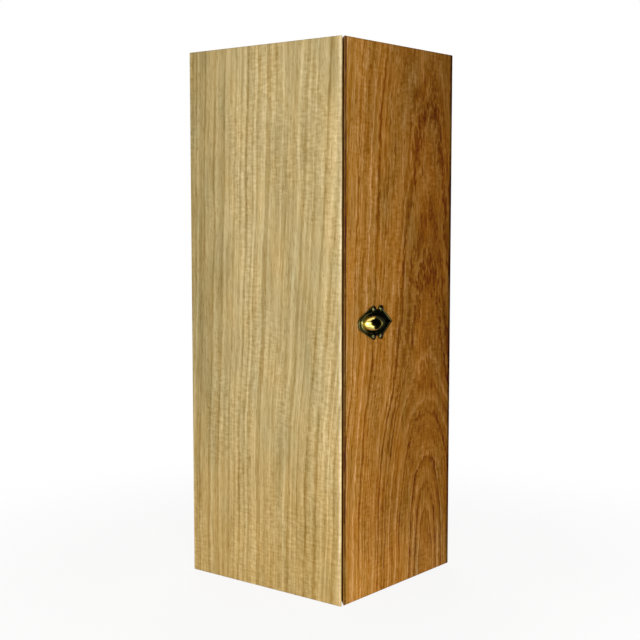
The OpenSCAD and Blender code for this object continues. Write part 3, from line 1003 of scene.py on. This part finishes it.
class WINEBOX_OT_backplate(Operator):
    """Models the cast backplate with its rim, collar and nail seats"""

    bl_idname = "winebox.backplate"
    bl_label = "Add Backplate"

    def execute(self, context):
        knob = context.scene.winebox_knob
        parts = [self.plate(knob), self.collar(knob), *self.seats(), self.ridge(knob)]
        plate = join(parts)
        apply_modifier(plate, "REMESH", mode="VOXEL", voxel_size=knob.detail)
        apply_modifier(plate, "SMOOTH", factor=0.5, iterations=3)
        material = self.bronze(context.scene.winebox_metal)
        finish_piece(plate, "knob_backplate_cast", "door", material, "knob_backplate")
        smooth(plate, angle=60)
        return {"FINISHED"}

    def outline(self, knob):
        """A blunt end, straight edges to two pairs of lobes, shoulders and a point."""
        lobe_r = knob.lobe / 2
        head_r = NAIL_HEAD / 2
        lobe_z = (PLATE_HIGH.z - PLATE_LOW.z) / 2 - lobe_r
        first = Vector((NAILS_LOW.x + head_r, lobe_z))
        last = Vector((NAILS_HIGH.x - head_r, lobe_z))
        blunt = Vector((PLATE_LOW.x + knob.blunt, 0))
        reach = first - blunt
        edge_turn = math.atan2(reach.y, reach.x) + math.acos((knob.blunt - lobe_r) / reach.length)
        half = [(PLATE_HIGH.x, 0), tuple(last + Vector(knob.shoulder))]
        half += arc(last, lobe_r, 0, math.pi)
        half += arc(first, lobe_r, 0, edge_turn)
        half += arc(blunt, knob.blunt, edge_turn, math.pi)
        mirrored = [(x, -z) for x, z in reversed(half[1:-1])]
        middle_z = (PLATE_LOW.z + PLATE_HIGH.z) / 2
        return [(x, middle_z + z) for x, z in half + mirrored]

    def plate(self, knob):
        """The plate itself, with a raised rim round a lower field."""
        plate = drawn(self.outline(knob), 0, dimensions="2D", fill_mode="BOTH")
        front = Vector((0, -1, 0))
        edit(plate, front)
        bpy.ops.mesh.extrude_region_move(TRANSFORM_OT_translate={"value": front * PLATE_T})
        fall = FIELD_T - PLATE_T - sum(RIM_RISES)
        for rise in (*RIM_RISES, fall):
            bpy.ops.mesh.inset(thickness=knob.rim / 3, use_even_offset=True)
            bpy.ops.transform.translate(value=front * rise)
        bpy.ops.object.mode_set(mode="OBJECT")
        return plate

    def collar(self, knob):
        """A bead round the foot of the knob."""
        outwards = knob.collar * COLLAR_SHIFT
        half_length = (KNOB_HIGH.x - KNOB_LOW.x) / 2 + outwards
        half_height = (KNOB_HIGH.z - KNOB_LOW.z) / 2 + outwards
        points = oval((KNOB_MIDDLE.x, KNOB_MIDDLE.z), half_length, half_height, knob.fullness, steps=96)
        return drawn(points, FIELD_T, dimensions="3D", bevel_depth=knob.collar / 2, bevel_resolution=4)

    def seats(self):
        """Round seats for the heads of the nails."""
        made = []
        height = DOOR_FACE - NAILS_LOW.y - NAIL_HEAD_H
        for x in (NAILS_LOW.x + NAIL_HEAD / 2, NAILS_HIGH.x - NAIL_HEAD / 2):
            for z in (NAILS_LOW.z + NAIL_HEAD / 2, NAILS_HIGH.z - NAIL_HEAD / 2):
                bpy.ops.mesh.primitive_cylinder_add(
                    vertices=32, radius=NAIL_SEAT / 2, depth=height,
                    location=(x, DOOR_FACE - height / 2, z), rotation=(math.pi / 2, 0, 0),
                )
                seat = bpy.context.object
                apply_modifier(seat, "BEVEL", width=SEAT_ROUND, segments=3, limit_method="ANGLE")
                made.append(seat)
        return made

    def ridge(self, knob):
        """A low rounded ridge from the collar towards the point of the plate."""
        start = KNOB_HIGH.x + knob.collar * RIDGE_START
        stop = PLATE_HIGH.x - 2 * knob.rim
        bpy.ops.mesh.primitive_uv_sphere_add(
            segments=24, ring_count=12, radius=1,
            location=((start + stop) / 2, DOOR_FACE - FIELD_T, KNOB_MIDDLE.z),
            scale=((stop - start) / 2, RIDGE_H, RIDGE_HALF),
        )
        return bpy.context.object

    def bronze(self, metals):
        """Dark bronze, rubbed bright where it stands proud of the door."""
        material, tree, shader = new_material("dark_bronze")
        fine = speckle(tree, per_mm=1.4, detail=3.0)
        depth = split(tree, millimetres(tree))["Y"]
        height = calc(tree, "SUBTRACT", DOOR_FACE * MM_PER_M, depth)
        worn = ramp(tree, calc(tree, "ADD", height, swing(tree, fine, level=0.5)), *WORN_HEIGHTS)
        dark = tinted(tree, metals.bronze, (swing(tree, fine, level=0.2), EVEN))
        bright = tinted(tree, metals.worn, (swing(tree, fine, level=0.1), EVEN))
        sockets = {
            "Base Color": mix(tree, worn, dark, bright),
            "Roughness": ramp(tree, worn, 0, 1, to_low=0.34, to_high=0.16),
            "Metallic": 1.0,
        }
        plug(tree, shader, sockets)
        relief(tree, shader, fine, distance=0.04 * MM, strength=0.3)
        return material


class WINEBOX_OT_knob(Operator):
    """Models the knob as a full oval, turned about its length and cut flat at its foot"""

    bl_idname = "winebox.knob"
    bl_label = "Add Knob"

    def execute(self, context):
        knob = context.scene.winebox_knob
        bpy.ops.mesh.primitive_uv_sphere_add(
            segments=knob.turn_steps * 2, ring_count=knob.profile_steps, radius=1, location=(0, 0, 0),
            rotation=(0, math.pi / 2, 0),
        )
        piece = context.object
        settle(piece)
        middle = Vector((KNOB_MIDDLE.x, KNOB_HIGH.y - knob.skirt, KNOB_MIDDLE.z))
        self.swell(piece, knob, middle)
        edit(piece)
        bpy.ops.mesh.bisect(plane_co=middle, plane_no=(0, 1, 0), use_fill=True, clear_outer=True)
        bpy.ops.mesh.extrude_region_move(TRANSFORM_OT_translate={"value": (0, knob.skirt, 0)})
        bpy.ops.object.mode_set(mode="OBJECT")
        material = self.brass(context.scene.winebox_metal.polished_brass)
        finish_piece(piece, "knob_oval", "door", material, "knob")
        smooth(piece, angle=50)
        return {"FINISHED"}

    def swell(self, piece, knob, middle):
        """Draws a unit ball out to the full oval that fits inside the collar."""
        inwards = knob.collar * COLLAR_SHIFT
        half_length = (KNOB_HIGH.x - KNOB_LOW.x) / 2 - inwards
        half_height = (KNOB_HIGH.z - KNOB_LOW.z) / 2 - inwards
        power = 2 / knob.fullness
        for vertex in piece.data.vertices:
            x, y, z = vertex.co
            x = max(-1.0, min(1.0, x))
            round_r = math.sqrt(1 - x * x)
            full = round_r ** (power - 1) if round_r > 1e-6 else 0.0
            vertex.co = (
                middle.x + half_length * signed_power(x, power),
                middle.y + half_height * full * y,
                middle.z + half_height * full * z,
            )

    def brass(self, colour):
        """Lacquered brass, with painted shade at its foot, dark and unreflecting, deepest towards the
        plate's point.
        """
        material = metal("polished_brass", colour, roughness=0.12, patina=0.03)
        tree = material.node_tree
        shader = tree.nodes["Principled BSDF"]
        parts = split(tree, millimetres(tree))
        low, length = KNOB_LOW.x * MM_PER_M, (KNOB_HIGH.x - KNOB_LOW.x) * MM_PER_M
        ends = [low + share * length for share in KNOB_SHADE_SHARES]
        # The painted shade reaches deeper towards the point of the plate, the side away from the light
        depth = calc(tree, "ADD", parts["Y"], ramp(tree, parts["X"], *ends, *KNOB_SHADE_DEPTHS))
        foot = KNOB_HIGH.y * MM_PER_M
        shaded = ramp(tree, depth, foot - KNOB_SHADE_FADE, foot)
        unshaded = calc(tree, "SUBTRACT", 1.0, shaded)
        brass = shader.inputs["Base Color"].links[0].from_socket
        sockets = {
            "Base Color": mix(tree, shaded, brass, KNOB_FOOT_SHADE),
            "Metallic": unshaded,
            "Coat Weight": unshaded,
            "Coat Roughness": 0.06,
            "Specular IOR Level": 0.0,
        }
        plug(tree, shader, sockets)
        return material


class WINEBOX_OT_felt_pad(Operator):
    """Models the felt pad as a soft disc with a rounded edge and a nap"""

    bl_idname = "winebox.felt_pad"
    bl_label = "Add Felt Pad"

    def execute(self, context):
        across, _, thick = PAD_HIGH - PAD_LOW
        middle = (PAD_LOW + PAD_HIGH) / 2
        pick(None)
        bpy.ops.mesh.primitive_cylinder_add(vertices=128, radius=across / 2, depth=thick, location=middle)
        pad = context.object
        apply_modifier(pad, "BEVEL", width=PAD_ROUND, segments=4, limit_method="ANGLE")
        material = self.felt(context.scene.winebox_felt)
        finish_piece(pad, "felt_pad", "carcass", material, "base_felt_pad")
        smooth(pad, angle=40)
        return {"FINISHED"}

    def felt(self, settings):
        """Matted wool with a short nap."""
        material, tree, shader = new_material("felt")
        nap = speckle(tree, per_mm=1.6, detail=5.0, roughness=0.7)
        sockets = {
            "Base Color": tinted(tree, settings.colour, (swing(tree, nap, level=0.25), EVEN)),
            "Roughness": 0.95,
            "Sheen Weight": 0.12,
        }
        plug(tree, shader, sockets)
        relief(tree, shader, nap, settings.fuzz, strength=1.0)
        return material


class WINEBOX_OT_stage(Operator):
    """Adds the camera, the floor, the soft lamps and the world"""

    bl_idname = "winebox.stage"
    bl_label = "Add Stage"

    def execute(self, context):
        stage = context.scene.winebox_stage
        context.scene.view_settings.view_transform = "Standard"
        self.camera(context.scene, stage)
        self.floor()
        self.world(context.scene, stage.ambient)
        for name, (place, side) in LAMPS.items():
            lamp = self.lamp(name, place, side, getattr(stage, name + "_power"))
            lamp.visible_glossy = name != "low"
        self.screen("dark_screen", self.dark(), *DARK_SPAN)
        self.screen("bright_screen", self.bright(stage.screen_level), *BRIGHT_SPAN)
        return {"FINISHED"}

    def camera(self, scene, stage):
        """The camera, level from side to side."""
        turn = (math.pi / 2 + stage.camera_pitch, 0.0, -stage.camera_yaw)
        bpy.ops.object.camera_add(location=stage.camera_place, rotation=turn)
        scene.camera = bpy.context.object
        scene.camera.data.sensor_width = SENSOR
        scene.camera.data.lens = stage.lens

    def lamp(self, name, place, side, power):
        """A square soft lamp that faces the middle of the box."""
        middle = (cad_low + cad_high) / 2
        turn = (middle - Vector(place)).to_track_quat("-Z", "Y").to_euler()
        bpy.ops.object.light_add(type="AREA", location=place, rotation=turn)
        lamp = bpy.context.object
        lamp.name = name
        lamp.data.size = side
        lamp.data.energy = power
        return lamp

    def screen(self, name, material, first, last, height):
        """A floor sheet and a wall round the knob, between two bearings, that only show in gloss."""
        foot = Vector((KNOB_MIDDLE.x, DOOR_FACE, SCREEN_CLEAR))
        pick(None)
        bpy.ops.mesh.primitive_circle_add(vertices=96, radius=SCREEN_NEAR, location=foot)
        screen = bpy.context.object
        bpy.ops.object.mode_set(mode="EDIT")
        bpy.ops.mesh.extrude_edges_move()
        wider = SCREEN_FAR / SCREEN_NEAR
        bpy.ops.transform.resize(value=(wider, wider, 1), center_override=foot)
        bpy.ops.mesh.extrude_edges_move(TRANSFORM_OT_translate={"value": (0, 0, height)})
        for bearing, side in ((first, 1), (last, -1)):
            turn = math.radians(bearing)
            bpy.ops.mesh.select_all(action="SELECT")
            away = (side * math.sin(turn), -side * math.cos(turn), 0)
            bpy.ops.mesh.bisect(plane_co=foot, plane_no=away, clear_outer=True)
        bpy.ops.object.mode_set(mode="OBJECT")
        screen.name = name
        screen.visible_camera = False
        screen.visible_diffuse = False
        screen.visible_transmission = False
        screen.visible_shadow = False
        screen.data.materials.append(material)

    def dark(self):
        """A dim room, as the knob mirrors it."""
        material, tree, _ = new_material("dark_screen")
        show(tree, glow(tree, DARK_SCREEN, 1.0))
        return material

    def bright(self, level):
        """White that fades towards its top and its right-hand edge, as the knob sees it."""
        material, tree, _ = new_material("bright_screen")
        coordinates = add(tree, "TexCoord").outputs["Object"]
        from_knob = add(
            tree, "VectorMath", {0: coordinates, 1: (0, 0, -KNOB_MIDDLE.z)}, operation="ADD"
        ).outputs[0]
        parts = split(tree, from_knob)
        reach = add(tree, "VectorMath", {0: from_knob}, operation="LENGTH").outputs[1]
        upward = calc(tree, "DEGREES", calc(tree, "ARCSINE", calc(tree, "DIVIDE", parts["Z"], reach)))
        bearing = calc(tree, "DEGREES", calc(tree, "ARCTAN2", parts["Y"], parts["X"]))
        top = ramp(tree, upward, *TOP_FADE, level, TOP_LEVEL)
        edge = calc(tree, "ADD", bearing, ramp(tree, upward, *LEAN_HEIGHTS, 0, EDGE_LEAN))
        show(tree, glow(tree, BRIGHT_SCREEN, calc(tree, "MULTIPLY", top, ramp(tree, edge, *EDGE_FADE))))
        return material

    def floor(self):
        """A wide pale floor that shows white, with the box's soft shadow."""
        bpy.ops.mesh.primitive_plane_add(size=FLOOR_SIDE, location=(0, 0, 0))
        floor = bpy.context.object
        floor.name = "floor"
        material, tree, shader = new_material("floor")
        plug(tree, shader, {"Base Color": FLOOR_GREY, "Roughness": 0.9, "Specular IOR Level": 0.0})
        distance = add(tree, "VectorMath", {0: millimetres(tree)}, operation="LENGTH").outputs[1]
        seen = add(tree, "LightPath").outputs["Is Camera Ray"]
        share = calc(tree, "MULTIPLY", ramp(tree, distance, *SHADOW_REACH, SHADOW_WHITE, 1.0), seen)
        sockets = {0: share, 1: shader.outputs[0], 2: glow(tree, WHITE, 1.0)}
        show(tree, add(tree, "MixShader", sockets).outputs[0])
        floor.data.materials.append(material)

    def world(self, scene, ambient):
        """White where it is seen, straight or in gloss, and a soft even light elsewhere."""
        scene.world = bpy.data.worlds.new("soft_room")
        scene.world.use_nodes = True
        tree = scene.world.node_tree
        path = add(tree, "LightPath").outputs
        seen = calc(tree, "MAXIMUM", path["Is Camera Ray"], path["Is Glossy Ray"])
        seen = calc(tree, "MAXIMUM", seen, path["Is Transmission Ray"])
        strength = add(tree, "MapRange", {0: seen, 3: ambient, 4: 1.0}).outputs[0]
        plug(tree, tree.nodes["Background"], {"Color": WHITE, "Strength": strength})


class WINEBOX_PT_panel(Panel):
    """Lists the steps that build the looks of the box"""

    bl_idname = "WINEBOX_PT_panel"
    bl_label = "Wine Box"
    bl_space_type = "VIEW_3D"
    bl_region_type = "UI"
    bl_category = "Wine Box"

    def draw(self, context):
        for operator in OPERATORS:
            self.layout.operator(operator.bl_idname)


SETTINGS = {
    "winebox_wood": WoodSettings,
    "winebox_metal": MetalSettings,
    "winebox_knob": KnobSettings,
    "winebox_felt": FeltSettings,
    "winebox_stage": StageSettings,
}
OPERATORS = (
    WINEBOX_OT_boards, WINEBOX_OT_fittings, WINEBOX_OT_backplate, WINEBOX_OT_knob, WINEBOX_OT_felt_pad,
    WINEBOX_OT_stage,
)


def register():
    """Registers the settings, the operators and the panel."""
    for name, group in SETTINGS.items():
        bpy.utils.register_class(group)
        setattr(bpy.types.Scene, name, PointerProperty(type=group))
    for item in (*OPERATORS, WINEBOX_PT_panel):
        bpy.utils.register_class(item)


def unregister():
    """Takes everything out again."""
    for item in reversed((*OPERATORS, WINEBOX_PT_panel)):
        bpy.utils.unregister_class(item)
    for name, group in SETTINGS.items():
        delattr(bpy.types.Scene, name)
        bpy.utils.unregister_class(group)


def main():
    """Builds the looks step by step."""
    register()
    bpy.ops.winebox.boards()
    bpy.ops.winebox.fittings()
    bpy.ops.winebox.backplate()
    bpy.ops.winebox.knob()
    bpy.ops.winebox.felt_pad()
    bpy.ops.winebox.stage()


if __name__ == "__main__":
    main()
